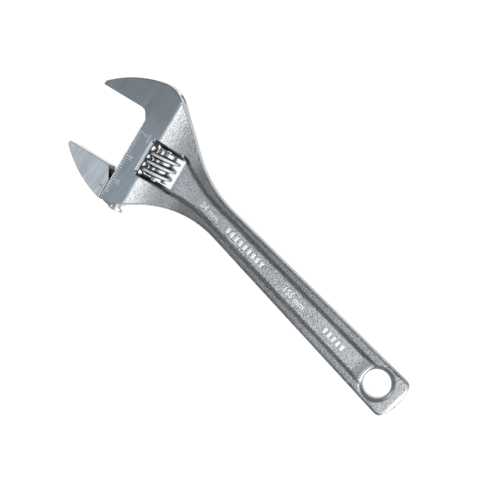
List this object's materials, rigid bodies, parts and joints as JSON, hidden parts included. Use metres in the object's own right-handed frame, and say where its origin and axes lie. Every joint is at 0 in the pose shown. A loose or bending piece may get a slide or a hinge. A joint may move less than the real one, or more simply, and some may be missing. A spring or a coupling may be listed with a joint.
{
  "type": "adjustable wrench",
  "caption": "Wide-opening adjustable wrench with a recessed, hang-holed handle, a worm-driven movable jaw on a racked rail, and a fixed jaw.",
  "frame": {"origin": "centre of the hanging hole at the handle's mid-thickness", "axes": "+X along the handle towards the head, +Y towards the movable jaw's side, +Z out of the upper face"},
  "size_m": [0.1573, 0.0482, 0.0118],
  "materials": {
    "forged_chrome": "satin chrome over a pebbled forging, head band ground flat",
    "ground_jaw_steel": "satin chrome over ground faces",
    "polished_worm": "bright chrome",
    "pin_steel": "turned",
    "spring_steel": "bright wire"
  },
  "bodies": {
    "body": {"wrench_body": "forged_chrome", "worm_pin": "pin_steel", "worm_spring": "spring_steel"},
    "jaw": {"movable_jaw": "ground_jaw_steel"},
    "worm": {"adjusting_worm": "polished_worm"}
  },
  "joints": [
    {"name": "worm_spin", "type": "hinge", "parent": "body", "child": "worm", "pos_m": [0.11028, 0.00141, 0], "axis": [-0.2504, 0.9681, 0], "range_deg": [-0.1, 2694.5]},
    {"name": "jaw_slide", "type": "slide", "parent": "body", "child": "jaw", "axis": [0.2504, -0.9681, 0], "range_m": [0, 0.02395]}
  ],
  "couplings": [
    {"joint": "worm_spin", "follows": "jaw_slide", "rad_per_m": 1963.5}
  ]
}
